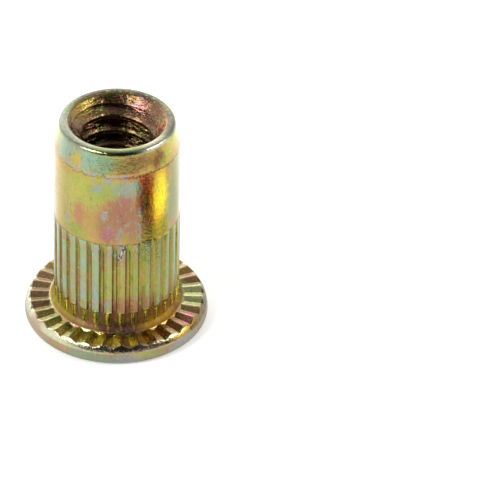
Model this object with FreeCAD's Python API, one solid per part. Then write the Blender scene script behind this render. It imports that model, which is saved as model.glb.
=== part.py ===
import FreeCAD, Part
import math
import os

# A flat-head rivet nut with a knurled crimp sleeve and an inch thread, headed and rolled from one piece of steel.
# It stands on the flat of its head with the threaded end up. The origin is the middle of that flat, and Z is the axis.
# Sizes are in millimetres and angles in degrees. A height is measured up from the flat of the head.

# Thread, 1/4-20 UNC
THREAD_MAJOR_DIA = 6.35
THREAD_PITCH = 1.27
THREAD_HEIGHT_SHARE = 1.0825

# Body over the thread
OVERALL_LENGTH = 16.8
SLEEVE_DIA = 9.0
NOSE_LENGTH = 1.72
NOSE_END_DIA = 8.34
RIM_CORNER_WIDTH = 0.2
RIM_CORNER_DROP = 0.31

# Bore: the screw enters through the head, passes the thin crimp sleeve and then meets the thread
CRIMP_BORE_CLEARANCE = 0.5
CRIMP_BORE_DEPTH = 9.0
DRILL_POINT_ANGLE = 118.0
HEAD_BORE_CHAMFER = 0.3
MOUTH_WIDENING = 0.75
MOUTH_CHAMFER_ANGLE = 90.0

# Head
HEAD_DIA = 13.3
HEAD_FACE_HEIGHT = 1.56
HEAD_EDGE_RADIUS = 0.5
HEAD_WALL_TOP = 0.96
HEAD_WALL_TAPER = 0.07
SHOULDER_WIDTH = 0.37
SHOULDER_BULGE = 0.06
NECK_FILLET = 0.4

# Knurl on the crimp sleeve: grooves rolled into it, with the metal between them raised to crowned ribs
RIB_COUNT = 30
RIB_PROUD = 0.04
RIB_TOP = 9.13
GROOVE_DEPTH = 0.15
GROOVE_FLOOR_WIDTH = 0.2
GROOVE_FLANK_ANGLE = 35.0
GROOVE_RUN_OUT = 0.85
GROOVE_ANGLE = -89.3

# Lower end of a rib: the full width stops short of the head, and a narrow tail runs on almost to the neck's fillet
RIB_FULL_BOTTOM = 3.05
RIB_TAIL_TOP = 2.8
RIB_TAIL_GAP = 0.09
RIB_TAIL_WIDTH = 0.28
RIB_TIP_WIDTH = 0.2

# Teeth pressed into the face of the head: radial V valleys that widen and deepen outwards and leave narrow ridges.
# Their inner ends are walls that lean back towards the neck, as the pressing tool leaves them.
TOOTH_COUNT = 30
TOOTH_LAND = 0.06
TOOTH_FLANK_ANGLE = 19.0
TOOTH_RING_WIDTH = 0.05
VALLEY_END_ANGLE = 40.0
VALLEY_ANGLE = -90.5

# How far a cutting shape reaches past the surface that it cuts
OVERCUT = 0.05

thread_major = THREAD_MAJOR_DIA / 2
thread_minor = thread_major - THREAD_HEIGHT_SHARE * THREAD_PITCH / 2
sleeve = SLEEVE_DIA / 2
nose_end = NOSE_END_DIA / 2
rim_edge = nose_end - RIM_CORNER_WIDTH
mouth = thread_major + MOUTH_WIDENING / 2
crimp_bore = thread_major + CRIMP_BORE_CLEARANCE / 2
head = HEAD_DIA / 2
rib_crest = sleeve + RIB_PROUD
groove_floor = rib_crest - GROOVE_DEPTH
neck_foot = groove_floor + NECK_FILLET
shoulder_top = head - HEAD_WALL_TAPER - SHOULDER_WIDTH
neck_top = HEAD_FACE_HEIGHT + NECK_FILLET
tail_bottom = neck_top + RIB_TAIL_GAP


def point(radius, height):
    """A point of the half section, in the XZ plane."""
    return FreeCAD.Vector(radius, 0, height)


def line(start, end):
    return Part.LineSegment(start, end).toShape()


def arc(start, middle, end):
    return Part.Arc(start, middle, end).toShape()


def bulged_arc(start, end, bulge):
    """An arc whose middle stands off the chord by the bulge, away from the axis for a rising chord."""
    chord = end.sub(start)
    outward = FreeCAD.Vector(chord.z, 0, -chord.x).normalize()
    middle = start.add(end).multiply(0.5).add(outward.multiply(bulge))
    return arc(start, middle, end)


def quarter_arc(center, radius, from_angle, to_angle):
    """An arc of the half section between two angles about its centre, where 0 points away from the axis."""
    def at(angle):
        turn = math.radians(angle)
        return center.add(FreeCAD.Vector(radius * math.cos(turn), 0, radius * math.sin(turn)))
    return arc(at(from_angle), at((from_angle + to_angle) / 2), at(to_angle))


def path_of(points):
    """Straight edges from each point to the next."""
    return [line(start, end) for start, end in zip(points, points[1:])]


def revolved(edges):
    """The solid of revolution about Z of a closed half section."""
    face = Part.Face(Part.Wire(Part.__sortEdges__(edges)))
    return face.revolve(FreeCAD.Vector(0, 0, 0), FreeCAD.Vector(0, 0, 1), 360)


def around_axis(shape, count, first_angle):
    """Evenly spaced copies of a shape about Z. The shape itself lies on the XZ plane."""
    copies = []
    for index in range(count):
        copy = shape.copy()
        copy.rotate(FreeCAD.Vector(0, 0, 0), FreeCAD.Vector(0, 0, 1), first_angle + index * 360.0 / count)
        copies.append(copy)
    return copies


def blank():
    """The outside with no bore, knurl or teeth: head, neck, core of the crimp sleeve, plain sleeve, tapered nose."""
    edge_center = point(head - HEAD_EDGE_RADIUS, HEAD_EDGE_RADIUS)
    wall_foot = point(head, HEAD_EDGE_RADIUS)
    wall_top = point(head - HEAD_WALL_TAPER, HEAD_WALL_TOP)
    face_edge = point(shoulder_top, HEAD_FACE_HEIGHT)
    fillet_center = point(neck_foot, neck_top)
    nose_foot = point(sleeve, OVERALL_LENGTH - NOSE_LENGTH)
    nose_top = point(nose_end, OVERALL_LENGTH - RIM_CORNER_DROP)
    rim = point(rim_edge, OVERALL_LENGTH)

    edges = [line(point(0, 0), point(head - HEAD_EDGE_RADIUS, 0))]
    edges.append(quarter_arc(edge_center, HEAD_EDGE_RADIUS, -90, 0))
    edges.append(line(wall_foot, wall_top))
    edges.append(bulged_arc(wall_top, face_edge, SHOULDER_BULGE))
    edges.append(line(face_edge, point(neck_foot, HEAD_FACE_HEIGHT)))
    edges.append(quarter_arc(fillet_center, NECK_FILLET, 270, 180))
    edges += path_of([
        point(groove_floor, neck_top),
        point(groove_floor, RIB_TOP),
        point(sleeve, RIB_TOP),
        nose_foot,
        nose_top,
    ])
    edges.append(bulged_arc(nose_top, rim, RIM_CORNER_WIDTH / 4))
    edges += path_of([rim, point(0, OVERALL_LENGTH), point(0, 0)])
    return revolved(edges)


def bore():
    """The hollow: chamfered crimp bore, drill point, threaded stretch at its minor diameter, chamfered mouth."""
    drill_point_length = (crimp_bore - thread_minor) / math.tan(math.radians(DRILL_POINT_ANGLE / 2))
    chamfer_length = (mouth - thread_minor) / math.tan(math.radians(MOUTH_CHAMFER_ANGLE / 2))
    return revolved(path_of([
        point(0, -OVERCUT),
        point(crimp_bore + HEAD_BORE_CHAMFER + OVERCUT, -OVERCUT),
        point(crimp_bore, HEAD_BORE_CHAMFER),
        point(crimp_bore, CRIMP_BORE_DEPTH),
        point(thread_minor, CRIMP_BORE_DEPTH + drill_point_length),
        point(thread_minor, OVERALL_LENGTH - chamfer_length),
        point(mouth, OVERALL_LENGTH),
        point(mouth, OVERALL_LENGTH + OVERCUT),
        point(0, OVERALL_LENGTH + OVERCUT),
        point(0, -OVERCUT),
    ]))


def crowned_column():
    """The knurl before its grooves: a crown for each rib, which rises from the sleeve's surface and falls back to it."""
    half_pitch = 180.0 / RIB_COUNT

    def at(radius, angle):
        turn = math.radians(angle)
        return FreeCAD.Vector(radius * math.cos(turn), radius * math.sin(turn), tail_bottom)

    crowns = []
    for index in range(RIB_COUNT):
        left = GROOVE_ANGLE + 2 * index * half_pitch
        crowns.append(arc(at(sleeve, left), at(rib_crest, left + half_pitch), at(sleeve, left + 2 * half_pitch)))
    column = Part.Face(Part.Wire(crowns)).extrude(FreeCAD.Vector(0, 0, RIB_TOP - tail_bottom))
    return column.common(tail_chamfer())


def tail_chamfer():
    """A round envelope of the knurl whose lower edge slopes, so that the ribs run out into the neck."""
    reach = rib_crest + OVERCUT
    return revolved(path_of([
        point(0, tail_bottom),
        point(groove_floor, tail_bottom),
        point(reach, tail_bottom + reach - groove_floor),
        point(reach, RIB_TOP),
        point(0, RIB_TOP),
        point(0, tail_bottom),
    ]))


def groove_section(height, floor_half_width, floor_radius):
    """One level section of a groove: a flat floor and two flanks that open outwards past the rib crests."""
    reach = rib_crest + OVERCUT
    mouth_half_width = floor_half_width + (reach - floor_radius) * math.tan(math.radians(GROOVE_FLANK_ANGLE))
    corners = [
        FreeCAD.Vector(floor_radius, -floor_half_width, height),
        FreeCAD.Vector(reach, -mouth_half_width, height),
        FreeCAD.Vector(reach, mouth_half_width, height),
        FreeCAD.Vector(floor_radius, floor_half_width, height),
    ]
    return Part.makePolygon(corners + corners[:1])


def floor_beside(rib_width):
    """Half the floor of a groove that leaves ribs of this width at their crests."""
    rib_pitch = 2 * math.pi * rib_crest / RIB_COUNT
    flank_spread = GROOVE_DEPTH * math.tan(math.radians(GROOVE_FLANK_ANGLE))
    return (rib_pitch - rib_width) / 2 - flank_spread


def groove():
    """One rolled groove. It fades to a point at its top, and widens at the neck round the tails of the ribs."""
    narrow = GROOVE_FLOOR_WIDTH / 2
    sections = [
        groove_section(tail_bottom - OVERCUT, floor_beside(RIB_TIP_WIDTH), groove_floor),
        groove_section(RIB_TAIL_TOP, floor_beside(RIB_TAIL_WIDTH), groove_floor),
        groove_section(RIB_FULL_BOTTOM, narrow, groove_floor),
        groove_section(RIB_TOP - GROOVE_RUN_OUT, narrow, groove_floor),
        groove_section(RIB_TOP, narrow / 4, sleeve),
    ]
    return Part.makeLoft(sections, True, True)


def valley():
    """One tooth valley: a V whose flanks meet the next valley's at a narrow ridge, ended by a wall round the neck."""
    pitch_slope = math.tan(math.pi / TOOTH_COUNT)
    flank_slope = math.tan(math.radians(TOOTH_FLANK_ANGLE))
    vanishing_radius = TOOTH_LAND / 2 / pitch_slope
    fall_angle = math.degrees(math.atan(flank_slope * pitch_slope))
    length = head - vanishing_radius + OVERCUT

    corners = [
        FreeCAD.Vector(0, 0, 0),
        FreeCAD.Vector(0, length, length * flank_slope),
        FreeCAD.Vector(0, -length, length * flank_slope),
    ]
    v_face = Part.Face(Part.makePolygon(corners + corners[:1]))
    v_run = v_face.extrude(FreeCAD.Vector(length, 0, 0))
    v_run.rotate(FreeCAD.Vector(0, 0, 0), FreeCAD.Vector(0, 1, 0), fall_angle)
    v_run.translate(point(vanishing_radius, HEAD_FACE_HEIGHT))
    return v_run.common(tooth_zone())


def tooth_zone():
    """The round space outside the neck in which the valleys lie. Its inner wall leans back towards the neck."""
    inner = neck_foot + TOOTH_RING_WIDTH
    wall_slope = math.tan(math.radians(VALLEY_END_ANGLE))
    reach = head + OVERCUT
    top = HEAD_FACE_HEIGHT + OVERCUT
    return revolved(path_of([
        point(inner - OVERCUT * wall_slope, top),
        point(reach, top),
        point(reach, HEAD_EDGE_RADIUS),
        point(inner + (HEAD_FACE_HEIGHT - HEAD_EDGE_RADIUS) * wall_slope, HEAD_EDGE_RADIUS),
        point(inner - OVERCUT * wall_slope, top),
    ]))


def rivet_nut():
    """The whole nut: the blank and the knurl's crowns, less the bore, the grooves and the head's valleys."""
    body = blank().fuse(crowned_column())
    body = body.cut(bore())
    body = body.cut(around_axis(groove(), RIB_COUNT, GROOVE_ANGLE))
    body = body.cut(around_axis(valley(), TOOTH_COUNT, VALLEY_ANGLE))
    return body.removeSplitter()


os.makedirs("parts", exist_ok=True)
nut = rivet_nut()
nut.exportStep("parts/rivet_nut.step")
print("solids", len(nut.Solids), "valid", nut.isValid(), "volume", round(nut.Volume, 2), "faces", len(nut.Faces))
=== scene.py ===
import logging
import math
from collections.abc import Callable, Sequence
from dataclasses import dataclass, field
from enum import Enum
from functools import partial

import bmesh
import bpy
import numpy as np
from mathutils import Matrix, Vector


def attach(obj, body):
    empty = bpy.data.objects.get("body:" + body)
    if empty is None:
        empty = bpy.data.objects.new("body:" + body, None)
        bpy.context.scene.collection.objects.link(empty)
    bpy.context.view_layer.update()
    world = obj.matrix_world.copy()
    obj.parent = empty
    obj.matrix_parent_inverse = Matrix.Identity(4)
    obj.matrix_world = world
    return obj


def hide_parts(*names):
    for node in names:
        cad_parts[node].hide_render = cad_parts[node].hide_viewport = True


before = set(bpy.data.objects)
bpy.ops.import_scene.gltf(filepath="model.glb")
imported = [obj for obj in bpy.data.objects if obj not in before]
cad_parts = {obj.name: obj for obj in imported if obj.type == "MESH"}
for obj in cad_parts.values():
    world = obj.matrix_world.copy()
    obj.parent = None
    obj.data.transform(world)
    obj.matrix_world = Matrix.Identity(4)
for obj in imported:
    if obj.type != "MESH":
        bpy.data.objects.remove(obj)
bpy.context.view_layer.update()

# A flat-head rivet nut in yellow-chromated steel, stood on its head with the threaded end up.
# Sizes are in millimetres and angles in degrees until a mesh is written, which is in metres.

MM = 0.001
NODE = "rivet_nut"

# the node types used most, and the sockets of a Mix node that mixes colours
MATH = "ShaderNodeMath"
VECTOR_MATH = "ShaderNodeVectorMath"
MAP_RANGE = "ShaderNodeMapRange"
NOISE = "ShaderNodeTexNoise"
MIX = "ShaderNodeMix"
SHARE = 0
UNDER = 6
OVER = 7
MIXED = 2

log = logging.getLogger("rivet_nut")

Colour = tuple[float, float, float, float]
Source = bpy.types.NodeSocket | float | tuple
NodeMaker = Callable[..., bpy.types.NodeSocket]


def linear(hex_colour: str) -> Colour:
    """Turn an sRGB hex value to a linear colour.

    Args:
        hex_colour: six hex digits.

    Returns:
        Red, green, blue and an alpha of 1.
    """
    channels = [int(hex_colour[i:i + 2], 16) / 255 for i in (0, 2, 4)]
    red, green, blue = [c / 12.92 if c <= 0.04045 else ((c + 0.055) / 1.055) ** 2.4 for c in channels]
    return red, green, blue, 1.0


def smooth_min(a: np.ndarray, b: np.ndarray, reach: float) -> np.ndarray:
    """The lower of two values, with the corner between them rounded.

    Args:
        a: first values.
        b: second values.
        reach: how far apart the two may be and still be blended.

    Returns:
        The blended lower values.
    """
    share = np.clip(0.5 + 0.5 * (b - a) / reach, 0, 1)
    return b + (a - b) * share - reach * share * (1 - share)


def add_node(tree: bpy.types.NodeTree, kind: str, inputs: dict[int | str, Source] | None = None,
             output: int | str = 0, stops: Sequence[tuple[float, Colour]] = (),
             **settings: object) -> bpy.types.NodeSocket:
    """Add a node with its settings, values and links.

    Args:
        tree: the node tree.
        kind: the node's type name.
        inputs: for each input, by name or number, an output to link or a value to set.
        output: which output to give back.
        stops: for a colour ramp, its positions and colours from low to high.
        settings: properties of the node.

    Returns:
        The chosen output, from which the node itself can be reached.
    """
    node = tree.nodes.new(kind)
    for name, value in settings.items():
        setattr(node, name, value)
    for name, value in (inputs or {}).items():
        if isinstance(value, bpy.types.NodeSocket):
            tree.links.new(value, node.inputs[name])
        else:
            node.inputs[name].default_value = value
    for number, (position, colour) in enumerate(stops):
        elements = node.color_ramp.elements
        element = elements[number] if number < 2 else elements.new(position)
        element.position = position
        element.color = colour
    return node.outputs[output] if node.outputs else None


def node_material(name: str) -> tuple[bpy.types.Material, NodeMaker]:
    """Start a material with an empty node tree.

    Args:
        name: of the material.

    Returns:
        The material, and the function that adds a node to it.
    """
    material = bpy.data.materials.new(name)
    material.use_nodes = True
    material.node_tree.nodes.clear()
    return material, partial(add_node, material.node_tree)


def add_object(name: str, data: bpy.types.ID) -> bpy.types.Object:
    """Put a new object in the scene, at the origin.

    Args:
        name: of the object.
        data: its mesh, lamp or camera.

    Returns:
        The object.
    """
    added = bpy.data.objects.new(name, data)
    bpy.context.scene.collection.objects.link(added)
    return added


def add_panel(name: str, corners: Sequence[Sequence[float]], material: bpy.types.Material
              ) -> bpy.types.Object:
    """Put a flat four-cornered panel in the scene.

    Args:
        name: of the panel.
        corners: in order round its edge, in metres.
        material: of its face.

    Returns:
        The panel.
    """
    mesh = bpy.data.meshes.new(name)
    mesh.from_pydata(corners, [], [(0, 1, 2, 3)])
    mesh.materials.append(material)
    return add_object(name, mesh)


class Zone(Enum):
    """A zone of the surface, with its colours from a thin film to a thick one: the plating's own, and in some
    zones painted light and shade.
    """

    SLEEVE = ("96A64E", "BAB04C", "C6A04E", "BE8452")
    GROOVES = ("8C9038", "9E8E3A", "A2823C", "967040")
    CRESTS = ("94B096", "A0B89A", "A8B27C", "AE9E6C")
    # painted shade: the right-facing half of each groove, next to the crest
    SHADES = ("62662A", "726A2C", "7C662E", "7A5A30")
    # painted shading: the left-facing sides of the ribs and grooves on the knurl's right half, coloured for
    # the key light falling on them
    SIDES = ("7E8030", "A0A040", "A89A42", "9C7840")
    # the rib tails: their film brightened as painted highlight, also laid in streaks down the neck below them
    TAILS = ("BCBC40", "D4D050", "C8C044", "B0A03C")
    NECK = ("8E8832", "A09036", "A07C3E", "90604A")
    # painted highlight: a thin cream line round the neck's foot, darkened at the front as painted shade
    FOOT = ("DCC08C", "E4B890", "E8AE94", "DA9C88")
    FACE = ("8A8C3C", "9C843C", "A06C48", "985C50")
    # painted shade: the right-facing flanks of the front teeth
    FLANKS = ("9AA24C", "A69E54", "B0905C", "A68064")
    # painted shade: dark lines on the right sides of the rib tails and along the front teeth's crests
    CREASES = ("3E4620", "4A4A22", "4E4024", "483624")
    # painted highlight: pale colours so that the shoulder's highlights read white, with painted shade on its
    # right
    SHOULDER = ("C4C49C", "CCCCA4", "CCBC98", "BCA088")
    WALL = ("909C84", "A2A484", "AC9C7E", "A88C80")
    RIM = ("7C886C", "949C74", "949060", "8A7450")
    # the bore's dark colours: partly the plating's own, partly painted shade inside the hole
    BORE = ("52462E", "7A643C", "8A624C", "6E4A42")


@dataclass(frozen=True)
class Grain:
    """A cloudy pattern, with its size from cloud to cloud in millimetres and a squeeze along each axis."""

    size: float
    detail: float
    roughness: float = 0.5
    squeeze: tuple[float, float, float] | None = None

    @property
    def scale(self) -> float:
        """How many clouds lie side by side in a millimetre, to two places."""
        return round(1 / self.size, 2)

    def lay(self, node: NodeMaker, spot: Source, output: int | str = 0) -> Source:
        """Lay the pattern over the surface.

        Args:
            node: adds a node to the material.
            spot: the place in millimetres.
            output: the pattern's value or its colour.

        Returns:
            The pattern at each place.
        """
        if self.squeeze:
            spot = node(VECTOR_MATH, {0: spot, 1: self.squeeze}, operation="MULTIPLY")
        return node(NOISE, {"Vector": spot, "Scale": self.scale, "Detail": self.detail,
                            "Roughness": self.roughness}, output)


@dataclass(frozen=True)
class ColourPatch:
    """A soft-edged patch of colour: in most places a stain in the plating's film, in some places painted
    light and shade.
    """

    zone: Zone
    azimuth: float
    height: float
    half_width: float
    half_length: float
    colour: str
    strength: float = 1.0
    radius: float = 4.5


@dataclass(frozen=True)
class Scuff:
    """A patch where the film has lifted or rubbed in small flakes."""

    azimuth: float
    height: float
    half_width: float
    half_length: float
    strength: float = 1.0
    radius: float = 4.5


@dataclass(frozen=True)
class Gouge:
    """The knock across the top of one rib, which bares bright zinc."""

    start: tuple[float, float] = (-80.3, 8.95)
    end: tuple[float, float] = (-85.6, 7.9)
    radius: float = 4.53
    half_width: float = 0.15
    depth: float = 0.07
    floor_waves: float = 23.0
    # the raised lip: its height, and its middle and reach in half widths of the gouge
    lip_height: float = 0.018
    lip_away: float = 1.2
    lip_half: float = 0.4

    def ends(self) -> tuple[Vector, Vector]:
        """Work out where the gouge starts and ends on the rib's crest.

        Returns:
            The two ends.
        """
        spots = []
        for azimuth, height in (self.start, self.end):
            turn = math.radians(azimuth)
            spots.append(Vector((self.radius * math.cos(turn), self.radius * math.sin(turn), height)))
        return spots[0], spots[1]


@dataclass(frozen=True)
class NutSizes:
    """Sizes of the nut, the same as in the solid's own source."""

    length: float = 16.8
    sleeve: float = 4.5
    nose_length: float = 1.72
    nose_end: float = 4.17
    rim_edge: float = 3.97
    rim_drop: float = 0.31
    mouth: float = 3.55
    thread_major: float = 3.175
    thread_minor: float = 2.4876
    pitch: float = 1.27
    crimp_bore: float = 3.425
    crimp_depth: float = 9.0
    drill_angle: float = 118.0
    bore_chamfer: float = 0.3
    head: float = 6.645
    face: float = 1.56
    edge_radius: float = 0.5
    wall_top: float = 0.96
    wall_taper: float = 0.07
    shoulder_width: float = 0.37
    shoulder_bulge: float = 0.06
    fillet: float = 0.4
    count: int = 30
    proud: float = 0.04
    rib_top: float = 9.13
    groove_depth: float = 0.15
    groove_floor_half: float = 0.1
    groove_flank: float = 35.0
    groove_run_out: float = 0.85
    groove_azimuth: float = -89.3
    rib_full_bottom: float = 3.05
    rib_tail_top: float = 2.8
    tail_bottom: float = 1.86
    tail_half: float = 0.14
    tip_half: float = 0.1
    tooth_land: float = 0.06
    tooth_flank: float = 19.0
    tooth_ring: float = 0.05
    valley_end: float = 40.0
    valley_azimuth: float = -90.5

    @property
    def crest(self) -> float:
        """Radius over the ribs."""
        return self.sleeve + self.proud

    @property
    def floor(self) -> float:
        """Radius at the bottom of the grooves, and of the neck."""
        return self.crest - self.groove_depth

    @property
    def neck_foot(self) -> float:
        """Radius where the neck's fillet meets the face of the head."""
        return self.floor + self.fillet

    @property
    def neck_top(self) -> float:
        """Height at which the neck's fillet ends."""
        return self.face + self.fillet

    @property
    def tooth_start(self) -> float:
        """Radius at which the teeth begin on the face of the head."""
        return self.neck_foot + self.tooth_ring

    @property
    def pitch_angle(self) -> float:
        """Angle from one rib, or tooth, to the next."""
        return 360.0 / self.count


@dataclass
class NutBody:
    """The whole nut as one closed shell.

    One sector of the outside holds a rib and a tooth. It is repeated round the axis, and a threaded bore is
    wound inside it.
    """

    sizes: NutSizes = field(default_factory=NutSizes)
    gouge: Gouge = field(default_factory=Gouge)
    # how finely the shell is divided, and how it is welded and smoothed
    columns: int = 24
    bore_columns: int = 8
    rows_per_pitch: int = 13
    nose_shares: tuple[float, ...] = (0.3, 0.65, 0.9, 0.97)
    sleeve_height: float = 12.0
    knurl_middle: tuple[float, ...] = (7.7, 6.5, 5.2, 4.0, 3.3)
    crimp_heights: tuple[float, ...] = (2.5, 5.0, 7.5)
    weld: float = 0.002
    sliver: float = 0.0001
    crease_angle: float = 38.0
    # the lip of the mouth and the bulge of the rim, outwards and upwards
    lip: float = 0.06
    nose_bulge: tuple[float, float] = (0.84, 0.54)
    # the ribs' upper ends, and their narrow tails below
    crown_run_in: float = 0.13
    groove_end_half: float = 0.03
    tail_narrowing: float = 0.86
    tail_drop: float = 0.02
    tail_bow: float = 2.6
    tail_rise: float = 0.9
    # how far corners are rounded
    edge_round: float = 0.03
    rib_round: float = 0.03
    rib_end_round: float = 0.3
    valley_round: float = 0.015
    thread_round: float = 0.04
    # the thread's start in shares of a turn, its angle and the pitch's multiple of half a root
    thread_phase: float = 0.465
    thread_angle: float = 60.0
    pitch_to_root: float = 16.0

    def crown(self, angles: np.ndarray) -> np.ndarray:
        """Radius of the crowned rib crests.

        Args:
            angles: from the groove's line.

        Returns:
            The radius at each angle.
        """
        s = self.sizes
        half = math.radians(s.pitch_angle / 2)
        rise = s.crest - s.sleeve * math.cos(half)
        chord = s.sleeve * math.sin(half)
        bow = (rise ** 2 + chord ** 2) / (2 * rise)
        center = s.crest - bow
        from_middle = half - np.abs(np.radians(angles))
        return center * np.cos(from_middle) + np.sqrt(bow ** 2 - (center * np.sin(from_middle)) ** 2)

    def neck(self, height: float) -> float:
        """Radius of the neck's fillet at one height.

        Args:
            height: above the flat of the head.

        Returns:
            The radius.
        """
        s = self.sizes
        drop = max(0.0, s.neck_top - height)
        return s.neck_foot - math.sqrt(max(0.0, s.fillet ** 2 - drop ** 2))

    def knurl(self, height: float, angles: np.ndarray) -> np.ndarray:
        """Radius of the knurl at one height.

        Args:
            height: above the flat of the head.
            angles: from the groove's line.

        Returns:
            The radius at each angle.
        """
        s = self.sizes
        half_pitch = math.pi * s.crest / s.count
        slope = math.tan(math.radians(s.groove_flank))
        spread = s.groove_depth * slope
        beside_tip = half_pitch - s.tip_half - spread
        beside_tail = half_pitch - s.tail_half - spread
        stations = [s.tail_bottom, s.rib_tail_top, s.rib_full_bottom - 0.06, s.rib_full_bottom + 0.04,
                    s.rib_top - s.groove_run_out, s.rib_top]
        floor_half = np.interp(height, stations, [
            beside_tip, beside_tail, beside_tail * self.tail_narrowing, s.groove_floor_half,
            s.groove_floor_half, self.groove_end_half])
        floor = np.interp(height, stations, [s.floor] * 5 + [s.sleeve])
        across = np.abs(np.radians(angles)) * s.sleeve
        flank = floor + np.maximum(0, across - floor_half) / slope
        from_middle = half_pitch - across
        tail = np.interp(height, [s.rib_full_bottom - 0.1, s.rib_full_bottom + 0.02], [1.0, 0.0])
        crest = self.crown(angles) - tail * (self.tail_drop + self.tail_bow * from_middle ** 2)
        step = np.interp(height, [s.rib_top - self.crown_run_in, s.rib_top], [1.0, 0.0])
        crest = s.sleeve + (crest - s.sleeve) * step
        crest = np.minimum(crest, s.floor + max(0.0, height - s.tail_bottom) * self.tail_rise)
        rounding = self.rib_round * np.interp(height, [s.rib_top - self.rib_end_round, s.rib_top], [1.0, 0.3])
        return np.maximum(smooth_min(crest, flank, rounding), self.neck(height))

    def valley(self, radius: float, angles: np.ndarray) -> np.ndarray:
        """Height of the tooth valleys' surface.

        Args:
            radius: from the axis.
            angles: from the valley's line.

        Returns:
            The height at each angle.
        """
        s = self.sizes
        pitch_slope = math.tan(math.pi / s.count)
        along = radius * np.cos(np.radians(angles)) - s.tooth_land / 2 / pitch_slope
        across = np.abs(radius * np.sin(np.radians(angles)))
        flank = s.face - (along * pitch_slope - across) * math.tan(math.radians(s.tooth_flank))
        wall = s.face - (radius - s.tooth_start) / math.tan(math.radians(s.valley_end))
        return -smooth_min(-flank, np.full_like(flank, -wall), self.valley_round)

    def phase(self, height: float) -> float:
        """Azimuth of the middle of a sector: the groove's above the neck, the valley's on the head."""
        s = self.sizes
        return float(np.interp(height, [s.face, s.tail_bottom], [s.valley_azimuth, s.groove_azimuth]))

    def ring(self, radii: np.ndarray | float, heights: np.ndarray | float, azimuth: float,
             columns: int) -> np.ndarray:
        """One row of a sector's points.

        Args:
            radii: for each point, or one for all.
            heights: for each point, or one for all.
            azimuth: of the sector's middle.
            columns: how many steps the row has.

        Returns:
            Points, one more than the columns.
        """
        half = self.sizes.pitch_angle / 2
        turn = np.radians(azimuth + np.linspace(-half, half, columns + 1))
        return np.stack([radii * np.cos(turn), radii * np.sin(turn), heights + 0 * turn], axis=1)

    def nose_places(self) -> list[tuple[float, float]]:
        """Places of the round rows from the rim down to the knurl.

        Returns:
            The radius and height of each row.
        """
        s = self.sizes
        corner_top = np.array([s.rim_edge, s.length])
        corner_foot = np.array([s.nose_end, s.length - s.rim_drop])
        places = []
        for share in np.linspace(0, 1, 7):
            bulge = share * (1 - share) * (s.nose_end - s.rim_edge)
            spot = corner_top + (corner_foot - corner_top) * share + bulge * np.array(self.nose_bulge)
            places.append((spot[0], spot[1]))
        for share in self.nose_shares:
            places.append((s.nose_end + (s.sleeve - s.nose_end) * share,
                           s.length - s.rim_drop - (s.nose_length - s.rim_drop) * share))
        nose_foot = s.length - s.nose_length
        heights = (nose_foot - 0.05, nose_foot - 0.2, self.sleeve_height, s.rib_top + 0.1, s.rib_top + 0.02)
        return places + [(s.sleeve, height) for height in heights]

    def knurl_heights(self) -> list[float]:
        """Heights of the knurl's rows, close together where its shape changes.

        Returns:
            The heights, from the top down.
        """
        s = self.sizes
        heights = [s.rib_top - drop for drop in (0.015, 0.05, 0.085, 0.12)]
        heights += list(np.linspace(s.rib_top - 0.18, s.rib_top - s.groove_run_out - 0.05, 10))
        heights += self.knurl_middle
        heights += list(np.linspace(s.rib_full_bottom + 0.1, s.rib_full_bottom - 0.14, 7))
        heights += list(np.linspace(s.rib_tail_top, s.neck_top + 0.08, 5))
        heights += list(np.linspace(s.neck_top, s.tail_bottom, 4))
        return heights

    def angles(self) -> np.ndarray:
        """Angles of a sector's points from its middle."""
        half = self.sizes.pitch_angle / 2
        return np.linspace(-half, half, self.columns + 1)

    def shank_rows(self) -> list[np.ndarray]:
        """Rows of the nose, the knurl and the neck's fillet, from the rim down to the face of the head.

        Returns:
            The points of each row.
        """
        s = self.sizes
        rows = [self.ring(radius, height, s.groove_azimuth, self.columns)
                for radius, height in self.nose_places()]
        for height in self.knurl_heights():
            radii = self.knurl(height, self.angles())
            rows.append(self.ring(radii, height, self.phase(height), self.columns))
        for turn in np.radians(np.linspace(20, 90, 6)):
            radius = s.neck_foot - s.fillet * math.cos(turn)
            height = s.neck_top - s.fillet * math.sin(turn)
            rows.append(self.ring(radius, height, self.phase(height), self.columns))
        return rows

    def head_rows(self) -> list[np.ndarray]:
        """Rows of the head, over its toothed face, shoulder, wall and rounded edge to its flat.

        Returns:
            The points of each row.
        """
        s = self.sizes
        angles = self.angles()
        start = np.array([s.head - s.wall_taper - s.shoulder_width, s.face])
        chord = np.array([s.head - s.wall_taper, s.wall_top]) - start
        outward = np.array([-chord[1], chord[0]]) / np.hypot(*chord)
        places = [(radius, s.face) for radius in np.linspace(s.tooth_start - 0.02, s.tooth_start + 0.2, 11)]
        places += [(radius, s.face) for radius in np.linspace(s.tooth_start + 0.35, start[0], 6)]
        for share in np.linspace(0, 1, 15)[1:]:
            spot = start + chord * share + outward * 4 * share * (1 - share) * s.shoulder_bulge
            places.append((spot[0], spot[1]))
        rows = []
        for radius, top in places:
            heights = smooth_min(np.full_like(angles, top), self.valley(radius, angles), self.edge_round)
            rows.append(self.ring(radius, heights, s.valley_azimuth, self.columns))

        places = [(s.head - s.wall_taper / 2, (s.wall_top + s.edge_radius) / 2)]
        for turn in np.radians(np.linspace(0, -90, 7)):
            places.append((s.head - s.edge_radius + s.edge_radius * math.cos(turn),
                           s.edge_radius + s.edge_radius * math.sin(turn)))
        return rows + [self.ring(radius, height, s.valley_azimuth, self.columns) for radius, height in places]

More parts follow.
